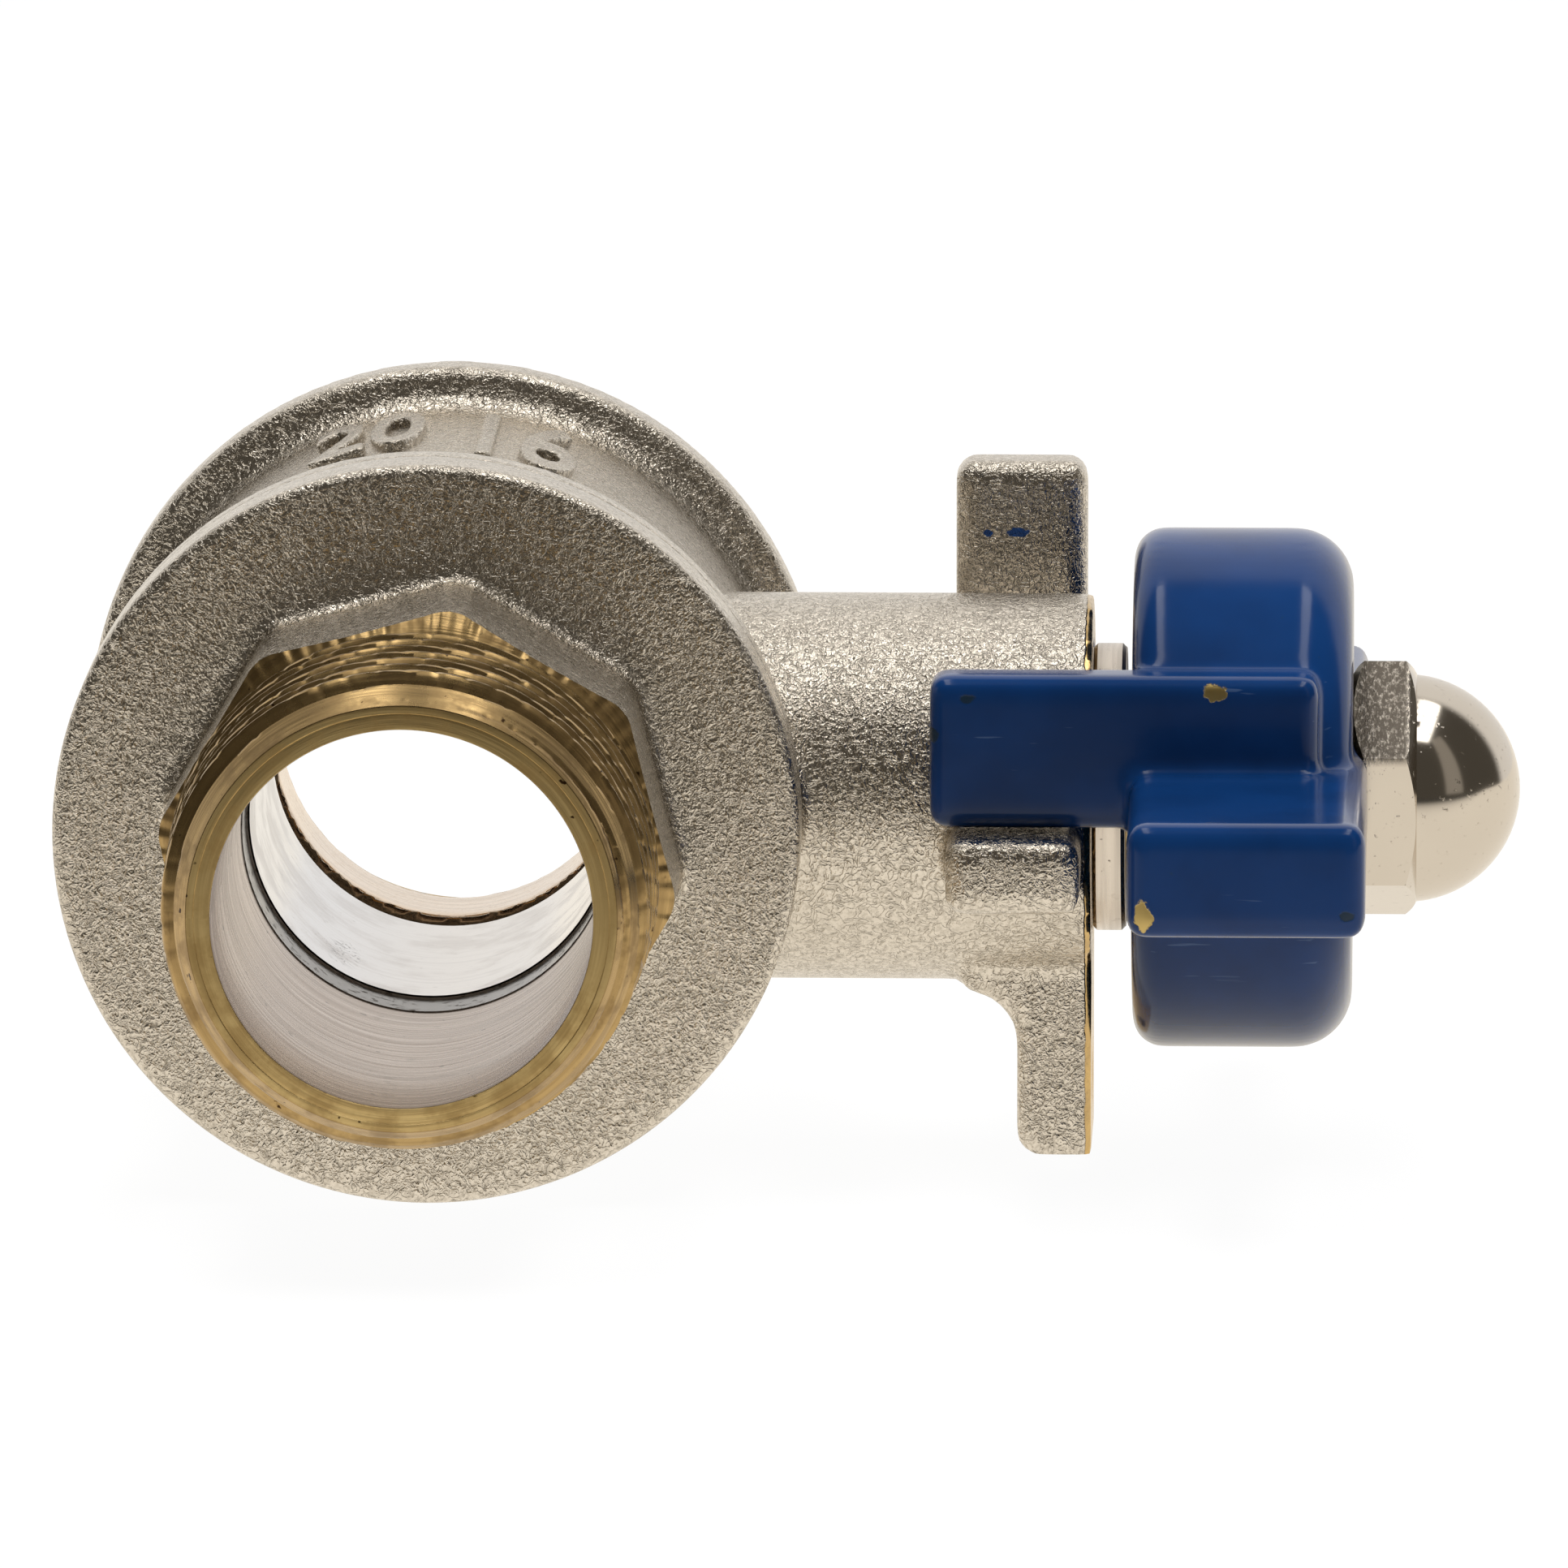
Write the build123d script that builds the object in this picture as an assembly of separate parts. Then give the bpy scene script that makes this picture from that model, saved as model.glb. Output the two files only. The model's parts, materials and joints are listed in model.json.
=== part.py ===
from build123d import *
import math
import os

# Ball valve with a male end, a female end and a butterfly handle, in millimetres.
# The origin is the centre of the ball. +X is the stem, towards the handle; -Y leaves the
# male end; +Z is up. The valve is open at rest and lies on its rims.

# Clearances and shared finish sizes
running_gap = 0.05        # a turning surface inside its seat
laid_gap = 0.02           # a ring laid in its groove or a plug in its bore
stop_gap = 0.15           # between the tab and the stop that it rests on
edge_round = 0.5          # broken edge of a forged flange

# Ball and its seats
way_r = 10.2              # bore of the ball
ball_wall = 5.3
seat_step = 0.8           # each seat's bore is this much larger than the ball's
seat_wall = 3.8           # radial width of a seat ring
seat_grip = 2.48          # how far a seat reaches in over the ball, from the end of the ball's way
seat_tail = 4.1           # how far it reaches out past it

# Body along the flow
chamber_gap = 0.8         # around the ball
spigot_wall = 2.4         # of the adapter's spigot around its seat
spigot_lip = 1.0          # the spigot ends this much past the seat
spigot_length = 6.4
barrel_wall = 1.5         # outside the thread that takes the spigot
flange_step = 2.2         # the front disc stands this much proud of the barrel
flange_thickness = 2.8    # the body's half of the front disc
flange_root = 1.2         # concave fillet behind the disc
adapter_disc = 3.8        # the adapter's half of the front disc
rim_step = 2.45           # the rear rim stands this much proud of the barrel
rim_setback = 2.65        # from the rear seat's back to the rim
rim_width = 3.5
rim_root = 1.8            # concave fillet in front of the rim
rear_way_step = 0.1       # the body's rear bore is this much larger than the ball's
rear_way_length = 6.8     # from the rear seat to the female thread
socket_r = 12.06          # G 3/4 female thread, at its crests
socket_length = 9.9
socket_relief = 1.25      # undercut behind the female thread
relief_width = 1.6
socket_wall = 3.94        # of the octagon around the female thread, at its flats
wrench_corner = 2.2
wrench_lead_angle = 30    # turned cone on both octagons
mouth_chamfer = 1.1

# Male end adapter
boss_flats = 27.0         # octagon behind the male thread
boss_corner = 2.4
boss_length = 11.2
neck_down_r = 12.3        # undercut between the boss and the thread
neck_down_width = 1.7
male_thread_r = 13.22     # G 3/4 male thread, at its crests
male_thread_length = 13.5
male_lead = 1.3           # chamfer on the end of the male thread
adapter_way_step = 0.25   # the adapter's bore is this much larger than the ball's
octagon_turn = -8         # degrees from +X to a corner of either octagon

# Sealing ring between the two discs
seal_section = 1.2

# Stem housing
neck_r = 10.94
neck_root = 0.7           # concave fillet where the neck leaves the barrel
stem_r = 5.5
stem_foot_r = 7.0
stem_foot_length = 2.0
stem_foot_gap = 1.1       # from the top of the ball to the stem's foot
washer_thickness = 1.0
web_length = 6.0          # wall around the stem between washer and packing
oring_section = 1.2
oring_pitch = 2.4
packing_r = 7.9
packing_thickness = 2.6
packing_count = 2
gland_grip = 6.2          # part of the gland screwed into the neck
gland_flange = 1.9        # part of the gland that stands out of the neck
gland_step = 0.23         # the standing part is this much larger in radius
tang_width = 6.0
tang_length = 11.0
tang_depth = 4.3

# Lugs on the neck
stop_lug_length = 7.5     # along the stem, for the two stops
stop_lug_inset = 0.5      # from the end of the neck
lug_round = 1.0
closed_stop_thickness = 4.4
open_stop_thickness = 4.2
closed_stop_margin = 1.8  # the stop for shut stands this much past the tab
open_stop_margin = 3.4    # and the stop for open this much
lock_lug_length = 4.2
lock_lug_half_width = 5.5
lock_lug_lift = 0.85      # its foot stays above the line that the rims stand on
lock_lug_root = 3.0
lock_lug_corner = 1.3
lock_eye_r = 1.6
lock_eye_wall = 2.2       # between the eye and the lug's foot

# Handle
handle_gap = 0.4          # between the gland and the handle
hub_r = 14.7
hub_length = 12.4
hub_back_round = 1.7
hub_front_round = 3.3
wing_reach = 33.0
wing_half_thickness = 3.2
wing_extra = 0.8          # the wings stand this much past the hub's outer face
wing_round = 1.0
tab_past_lug = 0.95       # the tab hangs this much past the stops, over the neck
tab_overlap = 10.5        # how far it runs across the hub
tab_height = 8.65
tab_thickness = 4.1
tab_gap = 0.36            # between the tab and the neck
tab_round = 0.9
stem_square = 8.0

# Fixing of the handle
bolt_r = 4.0              # M8 end of the stem
bolt_engagement = 6.5
nut_flats = 13.0
nut_hex_height = 3.6
nut_turn = 38             # degrees of one hexagon corner from +Y, as tightened
nut_lead_angle = 30
dome_step = 0.05          # the dome is this much smaller in radius than the flats
dome_sink = 0.6           # the dome's centre lies this far inside the hexagon
lock_washer_rim = 0.9     # the washer reaches this much past the nut's flats
lock_washer_thickness = 0.8

# Along the flow, worked out from the sizes above
ball_r = way_r + ball_wall
ball_half_length = math.sqrt(ball_r ** 2 - way_r ** 2)
chamber_r = ball_r + chamber_gap
seat_way_r = way_r + seat_step
seat_r = seat_way_r + seat_wall
seat_front = ball_half_length - seat_grip
seat_back = ball_half_length + seat_tail
spigot_r = seat_r + spigot_wall
spigot_end = seat_front - spigot_lip
joint_y = spigot_end + spigot_length
disc_front = joint_y + adapter_disc
barrel_r = spigot_r + barrel_wall
flange_r = barrel_r + flange_step
flange_back = joint_y - flange_thickness
rim_r = barrel_r + rim_step
rim_front = seat_back + rim_setback
rim_back = rim_front + rim_width
rear_way_r = way_r + rear_way_step
socket_floor = seat_back + rear_way_length
socket_end = socket_floor + relief_width + socket_length
wrench_flats = 2 * (socket_r + socket_wall)
adapter_way_r = way_r + adapter_way_step
boss_front = disc_front + boss_length
thread_back = boss_front + neck_down_width
male_face = thread_back + male_thread_length + male_lead

# Along the stem
stem_foot_start = ball_r + stem_foot_gap
washer_start = stem_foot_start + stem_foot_length
web_start = washer_start + washer_thickness
packing_start = web_start + web_length
gland_start = packing_start + packing_count * packing_thickness
neck_end = gland_start + gland_grip
gland_end = neck_end + gland_flange
gland_r = packing_r + gland_step
oring_groove_r = stem_r + running_gap - oring_section
hub_start = gland_end + handle_gap
hub_end = hub_start + hub_length
wing_end = hub_end + wing_extra
bolt_end = hub_end + bolt_engagement
lock_washer_r = nut_flats / 2 + lock_washer_rim
dome_r = nut_flats / 2 - dome_step

# Across the stem
tab_back = neck_r + tab_gap
tab_front = tab_back + tab_thickness
lug_end = neck_end - stop_lug_inset
lug_start = lug_end - stop_lug_length
tab_start = lug_start - tab_past_lug
lock_lug_start = neck_end - lock_lug_length
lock_lug_reach = rim_r - lock_lug_lift
lock_eye_reach = lock_lug_reach - lock_eye_wall - lock_eye_r


def turned(points, axis):
    """A solid of revolution. Points are (x, y) beside the axis, or (x, y, radius) where rounded."""
    face = make_face(Polyline(*[point[:2] for point in points], close=True))
    for x, y, radius in [point for point in points if len(point) == 3]:
        corner = min(face.vertices(), key=lambda v: math.hypot(v.X - x, v.Y - y))
        face = fillet(corner, radius)
    return revolve(face, axis)


def ring(inner, outer, start, end, axis):
    """A plain ring about +X or about the flow axis, from start to end."""
    if axis == Axis.X:
        corners = [(start, inner), (start, outer), (end, outer), (end, inner)]
    else:
        corners = [(inner, start), (outer, start), (outer, end), (inner, end)]
    return turned(corners, axis)


def rod(radius, start, end, axis):
    """A round bar about +X or about the flow axis."""
    return ring(0, radius, start, end, axis)


def octagon(flats, corner, start, end):
    """An octagonal prism along +Y with rounded corners."""
    across_corners = flats / 2 / math.cos(math.pi / 8)
    outline = RegularPolygon(across_corners, 8, rotation=octagon_turn)
    outline = fillet(outline.vertices(), corner)
    plane = Plane(origin=(0, start, 0), x_dir=(1, 0, 0), z_dir=(0, -1, 0))
    return extrude(plane * outline, start - end)


def block(low, high, rounding):
    """A box between two corners with all its edges rounded."""
    size = [b - a for a, b in zip(low, high)]
    middle = [(a + b) / 2 for a, b in zip(low, high)]
    solid = Pos(*middle) * Box(*size)
    return fillet(solid.edges(), rounding)


def wrench_lead(flats, face_r, back, front):
    """The cone that breaks an octagon's front corners, as a solid from back to front."""
    corner_r = flats / 2 / math.cos(math.pi / 8)
    depth = (corner_r - face_r) * math.tan(math.radians(wrench_lead_angle))
    toward = math.copysign(1, front - back)
    return turned(
        [(0, front), (face_r, front), (corner_r, front - toward * depth), (corner_r, back), (0, back)],
        Axis.Y,
    )


def circles(solid, radius, y=None):
    """The round edges about the flow axis with this radius, all of them or those at y."""
    found = [e for e in solid.edges().filter_by(GeomType.CIRCLE) if abs(e.radius - radius) < 1e-6]
    return [e for e in found if y is None or abs(e.arc_center.Y - y) < 1e-6]


def seams(whole, *pieces):
    """The edges of a union that none of its pieces had, so where the pieces grew together."""
    own = [edge.center() for piece in pieces for edge in piece.edges()]
    return [e for e in whole.edges() if all((e.center() - c).length > 1e-4 for c in own)]


def body():
    """Forged body: barrel, disc, rim, wrench octagon, stem neck and its three lugs."""
    barrel = turned(
        [(0, -joint_y), (flange_r, -joint_y), (flange_r, -flange_back, edge_round),
         (barrel_r, -flange_back, flange_root), (barrel_r, rim_front, rim_root),
         (rim_r, rim_front, edge_round), (rim_r, rim_back, edge_round), (0, rim_back)],
        Axis.Y,
    )
    neck = rod(neck_r, 0, neck_end, Axis.X)
    outside = barrel + neck
    outside = fillet(seams(outside, barrel, neck), neck_root)
    outside += closed_stop() + open_stop() + lock_lug()
    wrench = octagon(wrench_flats, wrench_corner, rim_back, socket_end)
    outside += wrench & wrench_lead(wrench_flats, socket_r + mouth_chamfer, rim_back, socket_end)
    return outside - flow_way() - stem_way() - lock_eye()


def flow_way():
    """Everything cut out of the body along the flow."""
    chamber = rod(chamber_r, -joint_y, seat_front, Axis.Y)
    thread = rod(spigot_r, -joint_y, -spigot_end + laid_gap, Axis.Y)
    seal_pocket = rod(spigot_r + seal_section, -joint_y, -(joint_y - seal_section), Axis.Y)
    seat_pocket = rod(seat_r + laid_gap, seat_front, seat_back, Axis.Y)
    rear_way = rod(rear_way_r, seat_back, socket_floor, Axis.Y)
    relief = rod(socket_r + socket_relief, socket_floor, socket_floor + relief_width, Axis.Y)
    socket = rod(socket_r, socket_floor, socket_end, Axis.Y)
    mouth = turned(
        [(0, socket_end - mouth_chamfer), (socket_r, socket_end - mouth_chamfer),
         (socket_r + mouth_chamfer, socket_end), (0, socket_end)],
        Axis.Y,
    )
    return chamber + thread + seal_pocket + seat_pocket + rear_way + relief + socket + mouth


def stem_way():
    """Everything cut out of the neck: foot and washer seat, stem bore and packing chamber."""
    foot_seat = rod(stem_foot_r + running_gap, 0, web_start, Axis.X)
    bore = rod(stem_r + running_gap, web_start, packing_start, Axis.X)
    packing_chamber = rod(packing_r + laid_gap, packing_start, neck_end, Axis.X)
    return foot_seat + bore + packing_chamber


def closed_stop():
    """The lug above the neck that the tab's upper face meets when the valve is shut."""
    face = tab_height + stop_gap
    return block(
        (lug_start, face, 0),
        (lug_end, face + closed_stop_thickness, tab_front + closed_stop_margin),
        lug_round,
    )


def open_stop():
    """The lug in front of the neck that the tab's lower face rests on when the valve is open."""
    return block(
        (lug_start, -tab_front - open_stop_margin, -stop_gap - open_stop_thickness),
        (lug_end, 0, -stop_gap),
        lug_round,
    )


def lock_lug():
    """The lug under the neck that takes a padlock or a seal wire."""
    outline = Polyline(
        (lock_lug_start - lock_lug_root, 0),
        (lock_lug_start - lock_lug_root, -neck_r),
        (lock_lug_start, -neck_r),
        (lock_lug_start, -lock_lug_reach),
        (neck_end, -lock_lug_reach),
        (neck_end, 0),
        close=True,
    )
    face = make_face(outline)
    root = face.vertices().group_by(Axis.Y)[1].sort_by(Axis.X)[-1]
    face = fillet(root, lock_lug_root * 0.98)
    foot = face.vertices().group_by(Axis.Y)[0].sort_by(Axis.X)
    face = fillet(foot[0], lock_lug_corner)
    return extrude(Plane.XZ * face, lock_lug_half_width, both=True)


def lock_eye():
    """The hole for the padlock, through the lug along the stem."""
    way = rod(lock_eye_r, lock_lug_start - lock_lug_root, neck_end, Axis.X)
    return Pos(0, 0, -lock_eye_reach) * way


def end_adapter():
    """The male end: a disc with a wrench octagon, the outer thread, and a spigot into the body."""
    disc = turned(
        [(0, -joint_y), (flange_r, -joint_y), (flange_r, -disc_front, edge_round), (0, -disc_front)],
        Axis.Y,
    )
    boss = octagon(boss_flats, boss_corner, -disc_front, -boss_front)
    boss = boss & wrench_lead(boss_flats, male_thread_r, -disc_front, -boss_front)
    thread = turned(
        [(0, -boss_front), (neck_down_r, -boss_front), (neck_down_r, -thread_back),
         (male_thread_r, -thread_back - (male_thread_r - neck_down_r)),
         (male_thread_r, -male_face + male_lead), (male_thread_r - male_lead, -male_face),
         (0, -male_face)],
        Axis.Y,
    )
    spigot = rod(spigot_r - laid_gap, -joint_y, -spigot_end, Axis.Y)
    seat_pocket = rod(seat_r + laid_gap, -seat_back, -spigot_end, Axis.Y)
    way = rod(adapter_way_r, -male_face, -seat_back, Axis.Y)
    return disc + boss + thread + spigot - seat_pocket - way


def seal_ring():
    """Square-cut ring squeezed between the adapter's disc and the body's."""
    end = -joint_y + seal_section - laid_gap
    return ring(spigot_r, spigot_r + seal_section - laid_gap, -joint_y, end, Axis.Y)


def seat(side):
    """A seat ring whose inner face follows the ball; side is -1 at the male end, 1 at the other."""
    start, end = sorted((side * seat_front, side * seat_back))
    return ring(seat_way_r, seat_r, start, end, Axis.Y) - Sphere(ball_r + running_gap)


def ball():
    """Chromed ball with its through way and the slot for the stem's tang."""
    slot = Pos(ball_r, 0, 0) * Box(
        2 * tang_depth, tang_width + 2 * running_gap, 2 * ball_r
    )
    return Sphere(ball_r) - rod(way_r, -ball_r, ball_r, Axis.Y) - slot


def stem():
    """Stem: tang, foot, shank with two O-ring grooves, square for the handle, bolt end."""
    shank_end = hub_start
    shape = turned(
        [(stem_foot_start, 0), (stem_foot_start, stem_foot_r), (washer_start, stem_foot_r),
         (washer_start, stem_r), (shank_end, stem_r), (shank_end, 0)],
        Axis.X,
    )
    for start in oring_starts():
        shape -= ring(oring_groove_r, stem_r + 1, start, start + oring_section, Axis.X)
    tang = Box(2 * tang_depth, tang_width, tang_length)
    tang = Pos(ball_r + laid_gap, 0, 0) * tang
    shape += tang & rod(stem_foot_r, 0, stem_foot_start, Axis.X)
    square = Box(hub_end - shank_end - lock_washer_thickness, stem_square, stem_square)
    square = Pos((shank_end + hub_end - lock_washer_thickness) / 2, 0, 0) * square
    shape += square & rod(stem_r, shank_end, hub_end, Axis.X)
    bolt = rod(bolt_r, shank_end, bolt_end, Axis.X)
    return shape + chamfer(bolt.edges().sort_by(Axis.X)[-1], edge_round)


def oring_starts():
    """Where the grooves of the two stem O-rings begin along the stem."""
    middle = (web_start + packing_start) / 2
    return [middle + k * oring_pitch / 2 - oring_section / 2 for k in (-1, 1)]


def stem_oring(start):
    """One O-ring, flattened to its groove."""
    inner = oring_groove_r + laid_gap
    outer = stem_r + running_gap - laid_gap
    round_ring = ring(inner, outer, start + laid_gap, start + oring_section - laid_gap, Axis.X)
    return fillet(round_ring.edges().filter_by(GeomType.CIRCLE), oring_section * 0.3)


def thrust_washer():
    """Low-friction washer between the stem's foot and the body."""
    return ring(stem_r + running_gap, stem_foot_r, washer_start, web_start, Axis.X)


def packing_ring(place):
    """One packing ring; place counts outwards from the bottom of the packing chamber."""
    start = packing_start + place * packing_thickness
    return ring(stem_r + running_gap, packing_r, start, start + packing_thickness, Axis.X)


def gland_nut():
    """Threaded gland that squeezes the packing; its flange stands out of the neck."""
    plug = ring(stem_r + running_gap, packing_r, gland_start, gland_end, Axis.X)
    flange = ring(stem_r + running_gap, gland_r, neck_end, gland_end, Axis.X)
    return plug + chamfer(circles(flange, gland_r), edge_round / 2)


def handle():
    """Cast butterfly handle: hub, two wings across the flow, and the tab that meets the stops."""
    hub = turned(
        [(hub_start, 0), (hub_start, hub_r, hub_back_round), (hub_end, hub_r, hub_front_round),
         (hub_end, 0)],
        Axis.X,
    )
    wings = block(
        (hub_start, -wing_reach, -wing_half_thickness),
        (wing_end, wing_reach, wing_half_thickness),
        wing_round,
    )
    tab = block(
        (tab_start, -tab_front, 0),
        (hub_start + tab_overlap, -tab_back, tab_height),
        tab_round,
    )
    square = Box(2 * hub_length, stem_square + 2 * laid_gap, stem_square + 2 * laid_gap)
    hole = Pos(hub_start, 0, 0) * square & rod(stem_r + laid_gap, hub_start, wing_end, Axis.X)
    washer_seat = rod(lock_washer_r + laid_gap, hub_end - lock_washer_thickness, wing_end, Axis.X)
    lock_hole = Pos(0, lock_eye_reach, 0) * rod(lock_eye_r, hub_start, wing_end, Axis.X)
    return hub + wings + tab - hole - washer_seat - lock_hole


def lock_washer():
    """Washer let into the hub under the cap nut."""
    return ring(bolt_r + laid_gap, lock_washer_r, hub_end - lock_washer_thickness, hub_end, Axis.X)


def cap_nut():
    """Domed hexagon nut that clamps the handle on the stem."""
    corner_r = nut_flats / 2 / math.cos(math.pi / 6)
    hex_end = hub_end + nut_hex_height
    hexagon = Plane.YZ * RegularPolygon(corner_r, 6, rotation=nut_turn)
    prism = Pos(hub_end, 0, 0) * extrude(hexagon, nut_hex_height)
    lead = (corner_r - dome_r) * math.tan(math.radians(nut_lead_angle))
    envelope = turned(
        [(hub_end, 0), (hub_end, dome_r), (hub_end + lead, corner_r), (hex_end - lead, corner_r),
         (hex_end, dome_r), (hex_end, 0)],
        Axis.X,
    )
    dome_centre = hex_end - dome_sink
    dome = Pos(dome_centre, 0, 0) * Sphere(dome_r)
    dome &= rod(corner_r, dome_centre, dome_centre + dome_r, Axis.X)
    socket = rod(bolt_r + laid_gap, hub_end, bolt_end + laid_gap, Axis.X)
    return (prism & envelope) + dome - socket


parts = {
    "body": body(),
    "end_adapter": end_adapter(),
    "adapter_seal_ring": seal_ring(),
    "front_seat_ring": seat(-1),
    "rear_seat_ring": seat(1),
    "ball": ball(),
    "stem": stem(),
    "stem_thrust_washer": thrust_washer(),
    "gland_nut": gland_nut(),
    "handle": handle(),
    "handle_lock_washer": lock_washer(),
    "cap_nut": cap_nut(),
}
for place, start in zip(("inner", "outer"), oring_starts()):
    parts["stem_oring_" + place] = stem_oring(start)
for place in range(packing_count):
    parts[f"packing_ring_{place + 1}"] = packing_ring(place)

os.makedirs("parts", exist_ok=True)
for name, shape in parts.items():
    export_step(shape, f"parts/{name}.step")
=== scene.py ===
import json
import math
import bmesh
import bpy
import numpy as np
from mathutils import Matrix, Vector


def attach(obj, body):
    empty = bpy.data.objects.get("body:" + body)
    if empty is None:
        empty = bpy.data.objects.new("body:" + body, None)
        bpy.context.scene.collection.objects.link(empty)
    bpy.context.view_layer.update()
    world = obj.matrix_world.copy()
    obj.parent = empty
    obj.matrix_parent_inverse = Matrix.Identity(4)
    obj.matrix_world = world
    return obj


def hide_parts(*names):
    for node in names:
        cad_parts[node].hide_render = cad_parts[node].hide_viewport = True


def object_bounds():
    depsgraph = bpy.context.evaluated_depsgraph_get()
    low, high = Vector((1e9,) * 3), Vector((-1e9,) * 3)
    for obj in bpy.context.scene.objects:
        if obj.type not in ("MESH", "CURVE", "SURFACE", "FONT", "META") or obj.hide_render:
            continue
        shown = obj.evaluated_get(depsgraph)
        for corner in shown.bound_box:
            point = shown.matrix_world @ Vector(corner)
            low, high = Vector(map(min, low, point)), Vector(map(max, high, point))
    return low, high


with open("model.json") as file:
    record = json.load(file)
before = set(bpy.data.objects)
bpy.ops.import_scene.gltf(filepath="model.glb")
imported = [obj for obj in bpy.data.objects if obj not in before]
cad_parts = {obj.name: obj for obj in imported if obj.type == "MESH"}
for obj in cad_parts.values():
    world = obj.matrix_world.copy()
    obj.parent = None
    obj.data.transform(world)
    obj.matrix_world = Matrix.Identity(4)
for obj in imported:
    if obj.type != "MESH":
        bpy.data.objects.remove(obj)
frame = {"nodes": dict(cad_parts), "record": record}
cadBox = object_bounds()
nodes = frame["nodes"]
mm = 0.001
print("frame loaded with", len(nodes), "CAD pieces")


# small helpers for building node trees
def put(tree, kind, inputs=None, **settings):
    node = tree.nodes.new("ShaderNode" + kind)
    for key, value in settings.items():
        setattr(node, key, value)
    for socket, value in (inputs or {}).items():
        if isinstance(value, bpy.types.NodeSocket):
            tree.links.new(value, node.inputs[socket])
        else:
            node.inputs[socket].default_value = value
    return node


def newFinish(name, **sockets):
    material = bpy.data.materials.new(name)
    material.use_nodes = True
    tree = material.node_tree
    tree.nodes.clear()
    shader = put(tree, "BsdfPrincipled",
                 {key.replace("_", " "): value for key, value in sockets.items()})
    out = put(tree, "OutputMaterial")
    tree.links.new(shader.outputs[0], out.inputs["Surface"])
    place = put(tree, "TexCoord").outputs["Object"]
    return material, tree, shader, place


def noise(tree, place, scale, detail=2.0, roughness=0.5, distortion=0.0):
    return put(tree, "TexNoise", {"Vector": place, "Scale": scale, "Detail": detail,
                                  "Roughness": roughness, "Distortion": distortion}).outputs["Fac"]


def stretch(tree, value, low, high, out0=0.0, out1=1.0):
    node = put(tree, "MapRange", {"Value": value, "From Min": low, "From Max": high,
                                  "To Min": out0, "To Max": out1})
    node.interpolation_type = "SMOOTHSTEP"
    return node.outputs["Result"]


def sums(tree, operation, *values):
    return put(tree, "Math", dict(enumerate(values)), operation=operation).outputs[0]


def times(tree, *values):
    product = values[0]
    for value in values[1:]:
        product = sums(tree, "MULTIPLY", product, value)
    return product


def blend(tree, share, colorA, colorB):
    node = put(tree, "Mix", data_type="RGBA")
    for socket, value in ((0, share), (6, colorA), (7, colorB)):
        if isinstance(value, bpy.types.NodeSocket):
            tree.links.new(value, node.inputs[socket])
        else:
            node.inputs[socket].default_value = value if socket == 0 else (*value, 1.0)
    return node.outputs[2]


def bump(tree, height, strength, distance):
    return put(tree, "Bump", {"Strength": strength, "Distance": distance,
                              "Height": height}).outputs["Normal"]


def apart(tree, place):
    return put(tree, "SeparateXYZ", {0: place}).outputs


def fromFlow(tree, place):
    # distance of a point from the flow axis, the root of x squared plus z squared
    parts = apart(tree, place)
    return sums(tree, "SQRT", sums(tree, "ADD", times(tree, parts[0], parts[0]),
                                   times(tree, parts[2], parts[2])))


def turnedPlace(tree, place, ringScale, wrapScale):
    # (distance from the flow axis, distance along it, a little of the angle), for turning marks
    parts = apart(tree, place)
    angle = sums(tree, "ARCTAN2", parts[2], parts[0])
    return put(tree, "CombineXYZ", {0: times(tree, fromFlow(tree, place), ringScale),
                                    1: times(tree, parts[1], ringScale),
                                    2: times(tree, angle, wrapScale)}).outputs[0]


def spots(tree, place, wobble, marks, edge, raggedness):
    # 1 inside each mark (centre, radii): the scaled distance plus a noise is under 1 there
    hit = None
    for centre, radii in marks:
        offset = put(tree, "VectorMath", {0: place, 1: centre}, operation="SUBTRACT")
        scaled = put(tree, "VectorMath", {0: offset.outputs["Vector"], 1: radii},
                     operation="DIVIDE")
        gap = put(tree, "VectorMath", {0: scaled.outputs["Vector"]}, operation="LENGTH")
        rough = times(tree, sums(tree, "SUBTRACT", wobble, 0.5), raggedness)
        ragged = sums(tree, "ADD", gap.outputs["Value"], rough)
        inside = stretch(tree, ragged, 1.0 + edge, 1.0 - edge)
        hit = inside if hit is None else sums(tree, "MAXIMUM", hit, inside)
    return hit


nickelGrain = {
    "color": (0.78, 0.72, 0.63), "valley": (0.42, 0.38, 0.32), "cloud": (0.60, 0.545, 0.46),
    "scale": 3400.0, "wormScale": 1500.0, "wormWidth": 0.055, "wormHeight": 0.30, "wormShade": 0.38,
    "cloudScale": 120.0, "cloudShare": 0.30,
    "roughness": 0.20, "depth": 0.000095, "strength": 1.0,
}


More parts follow.
